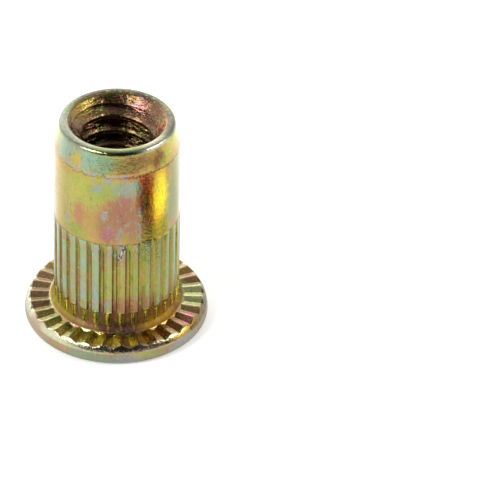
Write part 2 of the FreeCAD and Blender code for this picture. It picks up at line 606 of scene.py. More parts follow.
    def bore_rows(self) -> list[np.ndarray]:
        """Rows of the crimp bore, from its chamfer in the head up to the drill point.

        Returns:
            The points of each row.
        """
        s = self.sizes
        places = [(s.crimp_bore + s.bore_chamfer, 0.0), (s.crimp_bore, s.bore_chamfer)]
        places += [(s.crimp_bore, height) for height in (*self.crimp_heights, s.crimp_depth)]
        return [self.ring(radius, height, s.groove_azimuth, self.bore_columns) for radius, height in places]

    def sector(self) -> bpy.types.Mesh:
        """The mesh of one sector: outside, rim, flat of the head and crimp bore.

        Returns:
            An open mesh in metres that closes on its neighbours.
        """
        s = self.sizes
        points: list[np.ndarray] = []
        faces: list[tuple[int, ...]] = []

        def add(rows: Sequence[np.ndarray]) -> int:
            """Add rows joined by four-sided faces.

            Args:
                rows: of points, all of one length.

            Returns:
                The number of the first point.
            """
            first = sum(len(row) for row in points)
            width = len(rows[0])
            for number in range(len(rows) - 1):
                for column in range(width - 1):
                    a = first + number * width + column
                    faces.append((a, a + width, a + width + 1, a + 1))
            points.extend(rows)
            return first

        outer = self.shank_rows() + self.head_rows()
        first_outer = add(outer)
        last_outer = first_outer + (len(outer) - 1) * (self.columns + 1)
        lip = []
        for out, down in ((1, 0), (0.35, 0.15), (-0.4, 0.45), (-1, 1)):
            lip.append(self.ring(s.mouth + self.lip * out, s.length - self.lip * down, s.groove_azimuth,
                                 self.bore_columns))
        rim = add(lip)
        bore = add(self.bore_rows())
        step = self.columns // self.bore_columns
        for column in range(self.bore_columns):
            edge = [first_outer + column * step + k for k in range(step + 1)]
            faces.append((rim + column, *edge, rim + column + 1))
            edge = [last_outer + column * step + k for k in range(step, -1, -1)]
            faces.append((bore + column + 1, *edge, bore + column))
        mesh = bpy.data.meshes.new("sector")
        mesh.from_pydata((np.concatenate(points) * MM).tolist(), [], faces)
        mesh.validate()
        return mesh

    def tree(self, material: bpy.types.Material) -> bpy.types.GeometryNodeTree:
        """The node tree that repeats the sector and winds the threaded bore.

        Args:
            material: for the whole shell.

        Returns:
            A geometry node tree with named inputs for its sizes.
        """
        s = self.sizes
        tree = bpy.data.node_groups.new("rolled_and_tapped_shell", "GeometryNodeTree")
        tree.interface.new_socket(name="Geometry", in_out="INPUT", socket_type="NodeSocketGeometry")
        top = s.length - self.lip
        turns = (top - s.crimp_depth) / s.pitch + 1
        rows = math.ceil(turns * self.rows_per_pitch)
        sizes = {
            "Sector Count": ("NodeSocketInt", s.count),
            "Bore Columns": ("NodeSocketInt", s.count * self.bore_columns + 1),
            "Bore Rows": ("NodeSocketInt", rows + 1),
            "Thread Pitch": ("NodeSocketFloat", s.pitch * MM),
            "Thread Phase": ("NodeSocketFloat", self.thread_phase),
            "Thread Major Radius": ("NodeSocketFloat", s.thread_major * MM),
            "Thread Minor Radius": ("NodeSocketFloat", s.thread_minor * MM),
            "Thread Bottom": ("NodeSocketFloat", s.crimp_depth * MM),
            "Thread Top": ("NodeSocketFloat", top * MM),
            "Crimp Bore Radius": ("NodeSocketFloat", s.crimp_bore * MM),
            "Mouth Radius": ("NodeSocketFloat", (s.mouth - self.lip) * MM),
            "Edge Rounding": ("NodeSocketFloat", self.thread_round * MM),
            "Start Azimuth": ("NodeSocketFloat", math.radians(s.groove_azimuth - s.pitch_angle / 2)),
        }
        for name, (kind, value) in sizes.items():
            tree.interface.new_socket(name=name, in_out="INPUT", socket_type=kind).default_value = value
        tree.interface.new_socket(name="Geometry", in_out="OUTPUT", socket_type="NodeSocketGeometry")
        node = partial(add_node, tree)
        given = node("NodeGroupInput").node.outputs

        # the sector, once for each rib and tooth
        spots = node("GeometryNodePoints", {"Count": given["Sector Count"]})
        turn = node(MATH, {0: node("GeometryNodeInputIndex"), 1: 2 * math.pi}, operation="MULTIPLY")
        turn = node(MATH, {0: turn, 1: given["Sector Count"]}, operation="DIVIDE")
        spin = node("ShaderNodeCombineXYZ", {"Z": turn})
        ring = node("GeometryNodeInstanceOnPoints", {
            "Points": spots, "Instance": given["Geometry"], "Rotation": spin})

        # the bore: a grid whose rows climb one pitch in each turn, cut off level at both ends
        grid = node("GeometryNodeMeshGrid", {
            "Size X": 1.0, "Size Y": 1.0, "Vertices X": given["Bore Columns"],
            "Vertices Y": given["Bore Rows"]})
        place = node("ShaderNodeSeparateXYZ", {0: node("GeometryNodeInputPosition")}).node.outputs
        across = node(MATH, {0: place[0], 1: 0.5}, operation="ADD")
        climb = node(MATH, {0: place[1], 1: 0.5}, operation="ADD")
        climb = node(MATH, {0: climb, 1: rows / self.rows_per_pitch}, operation="MULTIPLY")
        rise = node(MATH, {0: climb, 1: across}, operation="ADD")
        rise = node(MATH, {0: rise, 1: 1.0}, operation="SUBTRACT")
        height = node(MATH, {0: rise, 1: given["Thread Pitch"], 2: given["Thread Bottom"]},
                      operation="MULTIPLY_ADD")
        height = node(MATH, {0: height, 1: given["Thread Top"]}, operation="MINIMUM")
        height = node(MATH, {0: height, 1: given["Thread Bottom"]}, operation="MAXIMUM")

        # the thread's flanks, with its root and crest rounded
        off_root = node(MATH, {0: climb, 1: given["Thread Phase"]}, operation="SUBTRACT")
        off_root = node(MATH, {0: off_root}, operation="FRACT")
        off_root = node(MATH, {0: off_root, 1: 0.5}, operation="SUBTRACT")
        off_root = node(MATH, {0: off_root}, operation="ABSOLUTE")
        off_root = node(MATH, {0: off_root, 1: given["Thread Pitch"]}, operation="MULTIPLY")
        root_half = node(MATH, {0: given["Thread Pitch"], 1: self.pitch_to_root}, operation="DIVIDE")
        flank = node(MATH, {0: off_root, 1: root_half}, operation="SUBTRACT")
        flank = node(MATH, {0: flank, 1: math.tan(math.radians(self.thread_angle / 2))}, operation="DIVIDE")
        flank = node(MATH, {0: given["Thread Major Radius"], 1: flank}, operation="SUBTRACT")
        radius = node(MATH, {
            0: flank, 1: given["Thread Major Radius"], 2: given["Edge Rounding"]}, operation="SMOOTH_MIN")
        radius = node(MATH, {
            0: radius, 1: given["Thread Minor Radius"], 2: given["Edge Rounding"]}, operation="SMOOTH_MAX")

        # the drill point below and the mouth's chamfer above
        drill = node(MATH, {0: height, 1: given["Thread Bottom"]}, operation="SUBTRACT")
        drill = node(MATH, {0: drill, 1: math.tan(math.radians(s.drill_angle / 2))}, operation="MULTIPLY")
        drill = node(MATH, {0: given["Crimp Bore Radius"], 1: drill}, operation="SUBTRACT")
        mouth = node(MATH, {0: given["Thread Top"], 1: height}, operation="SUBTRACT")
        mouth = node(MATH, {0: given["Mouth Radius"], 1: mouth}, operation="SUBTRACT")
        ends = node(MATH, {0: drill, 1: mouth}, operation="MAXIMUM")
        radius = node(MATH, {0: radius, 1: ends, 2: given["Edge Rounding"]}, operation="SMOOTH_MAX")

        azimuth = node(MATH, {0: across, 1: 2 * math.pi, 2: given["Start Azimuth"]}, operation="MULTIPLY_ADD")
        right = node(MATH, {0: azimuth}, operation="COSINE")
        right = node(MATH, {0: radius, 1: right}, operation="MULTIPLY")
        back = node(MATH, {0: azimuth}, operation="SINE")
        back = node(MATH, {0: radius, 1: back}, operation="MULTIPLY")
        target = node("ShaderNodeCombineXYZ", {"X": right, "Y": back, "Z": height})
        wound = node("GeometryNodeSetPosition", {"Geometry": grid, "Position": target})
        inward = node("GeometryNodeFlipFaces", {0: wound})

        whole = node("GeometryNodeJoinGeometry", {0: ring})
        tree.links.new(inward, whole.node.inputs[0])
        real = node("GeometryNodeRealizeInstances", {0: whole})
        coated = node("GeometryNodeSetMaterial", {0: real, "Material": material})
        node("NodeGroupOutput", {0: coated})
        return tree

    def build(self, material: bpy.types.Material) -> bpy.types.Object:
        """Make the nut as one plain closed mesh.

        Args:
            material: for the whole shell.

        Returns:
            The finished object.
        """
        source = add_object("sector", self.sector())
        modifier = source.modifiers.new("shell", "NODES")
        modifier.node_group = self.tree(material)
        for item in modifier.node_group.interface.items_tree:
            if item.in_out == "INPUT" and item.socket_type != "NodeSocketGeometry":
                modifier[item.identifier] = item.default_value
        depsgraph = bpy.context.evaluated_depsgraph_get()
        mesh = bpy.data.meshes.new_from_object(source.evaluated_get(depsgraph), depsgraph=depsgraph)
        bpy.data.objects.remove(source)
        self.close(mesh)
        self.knock(mesh)
        mesh.name = "rivet_nut_shell"
        return add_object("rivet_nut_shell", mesh)

    def knock(self, mesh: bpy.types.Mesh) -> None:
        """Press the gouge into its rib, with an uneven floor and a raised lip.

        Args:
            mesh: of the whole shell.
        """
        gouge = self.gouge
        start, end = gouge.ends()
        along = end - start
        for vertex in mesh.vertices:
            spot = vertex.co / MM
            share = min(1.0, max(0.0, (spot - start).dot(along) / along.length_squared))
            away = (spot - start - along * share).length / gouge.half_width
            if away < gouge.lip_away + gouge.lip_half:
                uneven = 0.7 + 0.3 * math.sin(gouge.floor_waves * share)
                press = gouge.depth * uneven * max(0.0, 1 - away ** 2)
                lift = gouge.lip_height * max(0.0, 1 - abs(away - gouge.lip_away) / gouge.lip_half)
                outward = Vector((spot.x, spot.y, 0)).normalized()
                vertex.co = (spot + outward * (lift - press)) * MM

    def close(self, mesh: bpy.types.Mesh) -> None:
        """Merge the seams, turn the faces outwards and smooth them.

        Args:
            mesh: of the whole shell.
        """
        shell = bmesh.new()
        shell.from_mesh(mesh)
        bmesh.ops.remove_doubles(shell, verts=shell.verts, dist=self.weld * MM)
        bmesh.ops.dissolve_degenerate(shell, edges=shell.edges, dist=self.sliver * MM)
        open_edges = sum(1 for edge in shell.edges if len(edge.link_faces) != 2)
        bmesh.ops.recalc_face_normals(shell, faces=shell.faces)
        if shell.calc_volume(signed=True) < 0:
            bmesh.ops.reverse_faces(shell, faces=shell.faces)
        for face in shell.faces:
            face.smooth = True
        triangles = sum(len(face.verts) - 2 for face in shell.faces)
        log.info("shell: %d triangles, %d open edges", triangles, open_edges)
        shell.to_mesh(mesh)
        shell.free()
        mesh.set_sharp_from_angle(angle=math.radians(self.crease_angle))


@dataclass(frozen=True)
class YellowChromate:
    """Yellow-chromated zinc plating on headed steel.

    The zinc gives a glossy metal, and the thin chromate film over it gives patches of olive, gold, salmon,
    mauve and pale teal, which change with the film's thickness. Where the film has lifted, it is lilac grey.
    Some colours are painted light and shade: on the sides of the ribs and grooves, the rib tails, the teeth,
    the foot of the neck, the shoulder, the rim, the bore, the nose and the top of the knurl.
    """

    sizes: NutSizes = field(default_factory=NutSizes)
    gouge: Gouge = field(default_factory=Gouge)
    # the film's thickness, and how far the patches' edges are torn
    film: Grain = Grain(2.22, 7.0, 0.68)
    film_steps: tuple[float, ...] = (0.36, 0.46, 0.54, 0.64)
    ragged: Grain = Grain(0.714, 8.0, 0.72)
    ragged_reach: float = 1.7
    # the metal under it, with grit and marks that are coarser than the real ones, so that they show
    gloss: Grain = Grain(0.909, 4.0)
    bar_marks: Grain = Grain(0.333, 2.0, 0.5, (1.0, 1.0, 0.12))
    grit: Grain = Grain(0.222, 3.0, 0.65)
    tap_marks: Grain = Grain(0.333, 4.0, 0.6, (0.45, 0.45, 1.2))
    bump_depth: float = 0.05
    roughness: tuple[float, float] = (0.12, 0.25)
    worn_roughness: float = 0.2
    matt_roughness: float = 0.5
    coat: float = 0.4
    coat_roughness: float = 0.08
    # the lines below the nose and over the knurl, a crack in the film and two lines of painted shade: how far
    # they wander, where they run and half their widths
    wander: float = 1.3
    crack_above_nose_foot: float = 0.62
    crack_half: float = 0.09
    shade_line_below_crack: float = 0.14
    shade_line_half: float = 0.05
    # the wear
    mottle: Grain = Grain(0.556, 6.0, 0.75)
    flakes: Grain = Grain(0.3125, 4.0, 0.7, (1.0, 1.0, 0.45))
    lifting: Grain = Grain(2.0, 3.0)
    dust: Grain = Grain(0.238, 3.0, 0.8)
    scratches: Grain = Grain(0.1818, 3.0, 0.7, (1.0, 1.0, 0.2))
    glints: Grain = Grain(0.1429, 1.0, 0.5, (1.0, 1.0, 0.45))
    colour_patches: tuple[ColourPatch, ...] = (
        ColourPatch(Zone.SLEEVE, -140, 12.6, 1.7, 1.5, "C2B65C", 0.8),
        ColourPatch(Zone.SLEEVE, -120, 13.3, 1.6, 1.3, "BDBA5A", 0.9),
        ColourPatch(Zone.SLEEVE, -112, 12.4, 1.0, 1.0, "B6B45A", 0.9),
        ColourPatch(Zone.SLEEVE, -98, 13.6, 1.3, 0.8, "A2AE56", 0.9),
        ColourPatch(Zone.SLEEVE, -148, 10.6, 1.4, 1.5, "C4AC58", 0.8),
        ColourPatch(Zone.SLEEVE, -109, 10.8, 0.9, 1.5, "C29A5C", 0.9),
        ColourPatch(Zone.SLEEVE, -124, 11.3, 0.55, 1.1, "BE8460", 0.9),
        ColourPatch(Zone.SLEEVE, -93, 10.9, 1.1, 1.9, "AA7A5A", 0.9),
        ColourPatch(Zone.SLEEVE, -82, 12.2, 0.9, 1.6, "A87060", 0.9),
        ColourPatch(Zone.SLEEVE, -74, 10.9, 0.7, 1.9, "AC785A", 0.9),
        ColourPatch(Zone.SLEEVE, -97, 10.0, 0.45, 0.7, "B46E7C", 0.8),
        ColourPatch(Zone.SLEEVE, -80, 13.2, 0.4, 0.5, "B0707A", 0.7),
        ColourPatch(Zone.SLEEVE, -68, 14.1, 0.6, 0.6, "9CAA62", 0.7),
        ColourPatch(Zone.SLEEVE, -77, 13.9, 1.3, 0.6, "93AC92", 0.8),
        ColourPatch(Zone.SLEEVE, -80, 11.0, 0.22, 0.25, "7FA8A0", 0.9),
        ColourPatch(Zone.SLEEVE, -100, 11.6, 0.14, 0.5, "98A0B4", 0.8),
        ColourPatch(Zone.SLEEVE, -107, 13.9, 0.35, 0.3, "92A6A8", 0.8),
        ColourPatch(Zone.SLEEVE, -66, 10.7, 0.16, 1.6, "9AA6A0", 0.7),
        ColourPatch(Zone.SLEEVE, -86, 10.0, 0.16, 0.8, "A29CA8", 0.7),
        ColourPatch(Zone.SLEEVE, -138, 10.2, 0.2, 0.5, "9CB0A4", 0.8),
        ColourPatch(Zone.SLEEVE, -33, 11.2, 1.0, 1.6, "9CB28C", 0.8),
        ColourPatch(Zone.SLEEVE, -18, 12.5, 1.5, 3.0, "92945C", 0.85),
        ColourPatch(Zone.SLEEVE, -44, 9.6, 0.8, 0.5, "A4AE62", 0.8),
        ColourPatch(Zone.SLEEVE, -146, 16.0, 1.2, 0.8, "8AAE98", 0.9, 4.3),
        ColourPatch(Zone.SLEEVE, -114, 16.0, 1.5, 0.7, "90B49C", 0.95, 4.3),
        ColourPatch(Zone.SLEEVE, -97, 15.9, 0.9, 0.6, "8FAE84", 0.9, 4.3),
        ColourPatch(Zone.SLEEVE, -128, 15.8, 0.5, 0.4, "CCAA3A", 0.9, 4.3),
        ColourPatch(Zone.SLEEVE, -80, 15.9, 0.9, 0.6, "A29248", 0.9, 4.3),
        # the next eight patches tint the dark band and gold streak that the glowing card gives the nose and
        # the sleeve's right side: partly the plating's colour, partly painted reflection
        ColourPatch(Zone.SLEEVE, -66, 15.9, 1.0, 0.6, "8E6C34", 0.95, 4.3),
        ColourPatch(Zone.SLEEVE, -46, 15.8, 0.7, 0.7, "7C4A20", 0.9, 4.3),
        ColourPatch(Zone.SLEEVE, -45, 12.8, 0.8, 2.0, "CACA5C", 1.0),
        ColourPatch(Zone.SLEEVE, -60, 13.8, 0.5, 1.1, "C0552A", 0.9),
        ColourPatch(Zone.SLEEVE, -67, 12.8, 0.25, 1.2, "944C40", 0.8),
        ColourPatch(Zone.SLEEVE, -55, 12.4, 0.14, 1.4, "DC7A2C", 0.85),
        ColourPatch(Zone.SLEEVE, -66, 10.3, 0.18, 1.0, "C88C34", 0.8),
        ColourPatch(Zone.SLEEVE, -64, 14.5, 0.3, 0.5, "E0683A", 0.95),
        ColourPatch(Zone.SLEEVE, -46, 10.1, 0.8, 0.7, "98A044", 0.9),
        ColourPatch(Zone.CRESTS, -99, 8.2, 0.5, 1.0, "B29A84", 0.9),
        ColourPatch(Zone.CRESTS, -86, 8.1, 0.6, 1.3, "BC8678", 0.9),
        ColourPatch(Zone.CRESTS, -74, 8.0, 0.6, 1.2, "BA8468", 0.9),
        ColourPatch(Zone.CRESTS, -88, 5.6, 0.9, 2.0, "B6AE5A", 0.95),
        ColourPatch(Zone.CRESTS, -100, 6.2, 0.5, 1.6, "AAB870", 0.8),
        ColourPatch(Zone.CRESTS, -74, 5.4, 0.7, 2.0, "B6A05A", 0.9),
        ColourPatch(Zone.CRESTS, -62, 6.2, 1.0, 2.6, "A2AC58", 0.95),
        ColourPatch(Zone.CRESTS, -60, 3.5, 1.2, 0.8, "A07A50", 0.9),
        ColourPatch(Zone.CRESTS, -79, 3.7, 1.0, 0.8, "AE7C58", 0.9),
        ColourPatch(Zone.CRESTS, -49, 6.0, 0.8, 2.8, "9A9A54", 0.9),
        ColourPatch(Zone.CRESTS, -36, 5.0, 0.8, 3.0, "A2AE74", 0.8),
        ColourPatch(Zone.CRESTS, -108, 4.4, 0.25, 0.9, "AEB0AC", 0.8),
        ColourPatch(Zone.CRESTS, -120, 4.8, 0.25, 1.0, "A8B4A4", 0.8),
        ColourPatch(Zone.CRESTS, -98, 3.5, 0.3, 0.5, "B0A2B4", 0.8),
        ColourPatch(Zone.SIDES, -72, 3.4, 2.2, 1.1, "96663E", 0.9),
        ColourPatch(Zone.SIDES, -88, 8.3, 1.0, 0.9, "9C8A48", 0.8),
        ColourPatch(Zone.SHADES, -82, 3.2, 2.2, 1.2, "7E4C36", 0.9),
        ColourPatch(Zone.GROOVES, -84, 8.3, 1.6, 0.8, "76904A", 0.8),
        ColourPatch(Zone.GROOVES, -104, 7.6, 1.0, 1.2, "84603A", 0.8),
        ColourPatch(Zone.GROOVES, -78, 5.8, 1.8, 1.6, "B0943E", 0.8),
        ColourPatch(Zone.GROOVES, -95, 3.0, 1.6, 1.0, "8C5C50", 0.9),
        ColourPatch(Zone.GROOVES, -70, 3.2, 1.9, 1.2, "92563C", 0.95),
        # tones down the tails' painted highlight at the front
        ColourPatch(Zone.TAILS, -80, 2.4, 1.6, 0.8, "A0803C", 0.6),
        ColourPatch(Zone.NECK, -150, 2.0, 2.4, 1.0, "B09A40", 0.9),
        ColourPatch(Zone.NECK, -116, 1.7, 1.1, 0.6, "B88A68", 0.8),
        # the neck's front, darkened as a painted dark reflection
        ColourPatch(Zone.NECK, -86, 1.8, 1.9, 0.8, "6C403C", 0.95),
        ColourPatch(Zone.NECK, -45, 1.8, 1.6, 0.7, "BC9238", 0.9),
        # the foot line's patches: painted shade at the front, and gold, olive and cream painted highlight
        # round the rest
        ColourPatch(Zone.FOOT, -80, 1.6, 1.6, 0.6, "6C403C", 0.95, 4.8),
        ColourPatch(Zone.FOOT, -45, 1.6, 2.0, 0.6, "B88C38", 0.95, 4.8),
        ColourPatch(Zone.FOOT, 10, 1.6, 2.4, 0.6, "8C7C3C", 0.95, 4.8),
        ColourPatch(Zone.FOOT, 180, 1.6, 2.6, 0.6, "CCC27A", 0.9, 4.8),
        ColourPatch(Zone.FOOT, -145, 1.6, 0.9, 0.6, "D8B888", 0.8, 4.8),
        ColourPatch(Zone.FACE, 165, 1.4, 2.0, 1.0, "94744E", 0.9, 5.6),
        ColourPatch(Zone.FACE, -168, 1.4, 1.4, 1.0, "80683E", 0.9, 5.6),
        ColourPatch(Zone.FACE, -140, 1.4, 1.6, 1.0, "A29650", 0.9, 5.6),
        ColourPatch(Zone.FACE, -112, 1.4, 1.2, 1.0, "AAB45C", 0.9, 5.6),
        # the front teeth: the plating's gold, brightened as painted light on their left-facing flanks
        ColourPatch(Zone.FACE, -86, 1.4, 2.0, 1.0, "F0E464", 0.95, 5.6),
        ColourPatch(Zone.FACE, -45, 1.4, 2.2, 1.0, "AC765A", 0.85, 5.6),
        ColourPatch(Zone.FACE, 5, 1.4, 1.9, 1.0, "BCC082", 0.95, 5.6),
        ColourPatch(Zone.FACE, -146, 1.5, 0.5, 0.6, "5C7240", 0.85, 5.2),
        ColourPatch(Zone.FACE, -130, 1.5, 0.5, 0.6, "5C7240", 0.85, 5.2),
        ColourPatch(Zone.FACE, -114, 1.5, 0.5, 0.6, "5C7240", 0.85, 5.2),
        ColourPatch(Zone.FACE, 22, 1.4, 0.7, 1.0, "8A6440", 0.9, 5.7),
        ColourPatch(Zone.FACE, -27, 1.4, 0.6, 1.0, "DC8C90", 0.85, 5.8),
        ColourPatch(Zone.FACE, -68, 1.5, 0.9, 0.6, "705030", 0.9, 4.6),
        ColourPatch(Zone.FACE, -50, 1.5, 0.9, 0.6, "7C5C2C", 0.9, 4.6),
        ColourPatch(Zone.FACE, -32, 1.5, 0.9, 0.6, "7C5C2C", 0.9, 4.6),
        ColourPatch(Zone.WALL, -150, 0.6, 1.6, 1.0, "CCAE98", 0.8, 6.6),
        ColourPatch(Zone.WALL, -104, 0.6, 1.8, 1.0, "90A088", 0.9, 6.6),
        ColourPatch(Zone.WALL, -80, 0.5, 1.2, 0.5, "9A9CA4", 0.8, 6.6),
        ColourPatch(Zone.WALL, -66, 0.8, 1.0, 0.5, "A4A868", 0.9, 6.6),
        ColourPatch(Zone.WALL, -40, 0.5, 1.6, 0.6, "A4A2A4", 0.85, 6.6),
        ColourPatch(Zone.WALL, -54, 0.9, 1.0, 0.3, "B09470", 0.8, 6.6),
        ColourPatch(Zone.WALL, -94, 0.85, 1.0, 0.25, "AC946C", 0.85, 6.6),
        ColourPatch(Zone.WALL, -73, 0.8, 0.7, 0.3, "B4B060", 0.85, 6.6),
        ColourPatch(Zone.WALL, -88, 0.35, 0.7, 0.25, "84989C", 0.8, 6.6),
        ColourPatch(Zone.WALL, -112, 0.4, 0.8, 0.3, "A0AE84", 0.8, 6.6),
        ColourPatch(Zone.WALL, -127, 0.7, 1.0, 0.5, "C09C7C", 0.85, 6.6),
        # the shoulder: pale painted highlight on the left, and darker painted shade on the right
        ColourPatch(Zone.SHOULDER, 180, 1.2, 3.2, 2.0, "E6E6CC", 0.95, 6.4),
        ColourPatch(Zone.SHOULDER, -140, 1.2, 2.2, 2.0, "DCD8B8", 0.9, 6.4),
        ColourPatch(Zone.SHOULDER, -150, 1.0, 0.8, 1.0, "C8A08C", 0.7, 6.4),
        ColourPatch(Zone.SHOULDER, 5, 1.2, 3.0, 2.0, "645438", 0.95, 6.4),
        ColourPatch(Zone.SHOULDER, -24, 1.2, 1.4, 2.0, "7C6C34", 0.9, 6.4),
        ColourPatch(Zone.RIM, -90, 16.8, 2.2, 1.0, "8E9C6C", 0.8, 3.9),
        ColourPatch(Zone.RIM, -165, 16.8, 1.9, 1.0, "8A9084", 0.95, 3.9),
        ColourPatch(Zone.RIM, -128, 16.8, 0.9, 1.0, "949C88", 0.9, 3.9),
        # painted highlight: a pale patch on the rim's corner at the right
        ColourPatch(Zone.RIM, -45, 16.8, 1.1, 1.0, "C0BEA8", 0.9, 4.1),
        ColourPatch(Zone.RIM, 0, 16.8, 1.6, 1.0, "70685A", 0.9, 3.9),
        # painted shade over the back of the rim
        ColourPatch(Zone.RIM, 90, 16.8, 4.2, 1.0, "443A28", 1.0, 3.9),
        ColourPatch(Zone.BORE, 150, 16.5, 1.6, 0.8, "A08238", 0.8, 3.4),
        ColourPatch(Zone.BORE, -10, 16.5, 1.5, 0.8, "B4784C", 0.9, 3.4),
        ColourPatch(Zone.BORE, 60, 15.9, 1.2, 0.5, "A8706A", 0.8, 3.2),
    )
    scuffs: tuple[Scuff, ...] = (
        Scuff(-92, 14.6, 2.0, 0.5),
        Scuff(-78, 14.0, 1.0, 0.6),
        Scuff(-104, 13.9, 0.5, 0.5),
        Scuff(-73, 11.4, 0.4, 2.0, 0.6),
        Scuff(-66, 10.6, 0.2, 1.6, 0.7),
        Scuff(-99, 11.4, 0.35, 0.9),
        Scuff(-88, 10.4, 0.5, 0.9),
        Scuff(-137, 10.2, 0.3, 0.6),
        Scuff(-146, 16.0, 0.9, 0.7, 0.8, 4.3),
        Scuff(-118, 15.3, 1.0, 0.3, 1.0, 4.4),
        Scuff(-85, 8.3, 0.35, 0.9),
        Scuff(-108, 8.3, 0.3, 0.6),
        Scuff(-109, 5.0, 0.3, 1.4),
        Scuff(-121, 6.0, 0.3, 2.4),
        Scuff(-97, 3.8, 0.3, 0.8, 0.8),
        Scuff(-74, 4.6, 0.3, 1.0, 0.6),
        Scuff(-62, 4.0, 0.3, 0.8, 0.6),
        Scuff(-132, 4.8, 0.3, 1.0, 0.8),
    )

    def material(self) -> bpy.types.Material:
        """Build the node material.

        Returns:
            The plating, for the whole nut.
        """
        material, node = node_material("zinc_plate_yellow_chromated")
        s = self.sizes
        place = node("ShaderNodeTexCoord", output="Object")
        spot = node(VECTOR_MATH, {0: place, "Scale": 1 / MM}, operation="SCALE")
        height = node("ShaderNodeSeparateXYZ", {0: spot}, "Z")
        level = node(VECTOR_MATH, {0: spot, 1: (1, 1, 0)}, operation="MULTIPLY")
        radius = node(VECTOR_MATH, {0: level}, "Value", operation="LENGTH")
        inside = node(MAP_RANGE, {0: radius, 1: s.mouth + 0.05, 2: s.mouth - 0.15},
                      interpolation_type="SMOOTHSTEP")
        neck, matt = self.matt(node, radius, height)

        colour = self.zones(node, spot, radius, height)
        colour, worn = self.wear_and_painted_lines(node, spot, height, inside, colour)
        gloss = self.gloss.lay(node, spot)
        glossy, cloudy = self.roughness
        roughness = node(MAP_RANGE, {0: gloss, 1: 0.3, 2: 0.7, 3: glossy, 4: cloudy})
        roughness = node(MATH, {0: worn, 1: self.worn_roughness, 2: roughness}, operation="MULTIPLY_ADD")
        roughness = node(MATH, {0: matt, 1: self.matt_roughness, 2: roughness}, operation="MULTIPLY_ADD")
        coat = node(MAP_RANGE, {0: matt, 3: self.coat, 4: 0.0})
        relief = self.relief(node, spot, height, neck, inside)
        bump = node("ShaderNodeBump", {"Strength": 0.5, "Distance": self.bump_depth * MM, "Height": relief})
        shader = node("ShaderNodeBsdfPrincipled", {
            "Base Color": colour, "Metallic": 1.0, "Roughness": roughness, "Coat Weight": coat,
            "Coat Roughness": self.coat_roughness, "Normal": bump})
        node("ShaderNodeOutputMaterial", {0: shader})
        return material

    def matt(self, node: NodeMaker, radius: Source, height: Source) -> tuple[Source, Source]:
        """Find the places where the film is matt: round the neck and in the feet of the grooves.

        Args:
            node: adds a node to the material.
            radius: from the axis.
            height: above the flat of the head.

        Returns:
            How far a place is on the neck, and how matt it is, both from 0 to 1.
        """
        s = self.sizes
        neck = node(MAP_RANGE, {0: height, 1: s.neck_top + 0.4, 2: s.neck_top - 0.1})
        beside = node(MAP_RANGE, {0: radius, 1: s.tooth_start, 2: s.neck_foot})
        neck = node(MATH, {0: neck, 1: beside}, operation="MULTIPLY")
        foot = node(MAP_RANGE, {0: height, 1: s.rib_full_bottom + 0.5, 2: s.rib_tail_top})
        in_groove = node(MAP_RANGE, {0: radius, 1: s.floor + 0.06, 2: s.floor + 0.02})
        foot = node(MATH, {0: foot, 1: in_groove}, operation="MULTIPLY")
        return neck, node(MATH, {0: neck, 1: foot}, operation="MAXIMUM")

    def relief(self, node: NodeMaker, spot: Source, height: Source, neck: Source, inside: Source) -> Source:
        """Raise the fine marks: grit and the drawn bar's long marks outside, and the tap's marks in the bore.

        Args:
            node: adds a node to the material.
            spot: the place in millimetres.
            height: above the flat of the head.
            neck: 1 on the neck and 0 elsewhere.
            inside: 1 in the bore and 0 elsewhere.

        Returns:
            The height of the marks.
        """
        s = self.sizes
        outside = node(MATH, {0: self.bar_marks.lay(node, spot), 1: 0.5, 2: self.grit.lay(node, spot)},
                       operation="MULTIPLY_ADD")
        on_face = node(MAP_RANGE, {0: height, 1: s.neck_top, 2: s.face, 3: 1.0, 4: 1.4})
        on_neck = node(MAP_RANGE, {0: neck, 3: 1.0, 4: 1.6})
        for factor in (on_face, on_neck):
            outside = node(MATH, {0: outside, 1: factor}, operation="MULTIPLY")
        bore = node(MATH, {0: outside, 1: 1.6}, operation="MULTIPLY")
        bore = node(MATH, {0: self.tap_marks.lay(node, spot), 1: 5.0, 2: bore}, operation="MULTIPLY_ADD")
        return node(MIX, {SHARE: inside, 2: outside, 3: bore}, data_type="FLOAT")

    def away(self, node: NodeMaker, spot: Source, patch: ColourPatch | Scuff) -> Source:
        """Measure how far a place is from the middle of a patch.

        Args:
            node: adds a node to the material.
            spot: the place in millimetres.
            patch: the patch, which is squeezed along the nut until it is round.

        Returns:
            The distance, on the scale of the patch's width.
        """
        turn = math.radians(patch.azimuth)
        flat = patch.half_width / patch.half_length
        center = (patch.radius * math.cos(turn), patch.radius * math.sin(turn), patch.height * flat)
        squeezed = node(VECTOR_MATH, {0: spot, 1: (1, 1, flat)}, operation="MULTIPLY")
        return node(VECTOR_MATH, {0: squeezed, 1: center}, "Value", operation="DISTANCE")

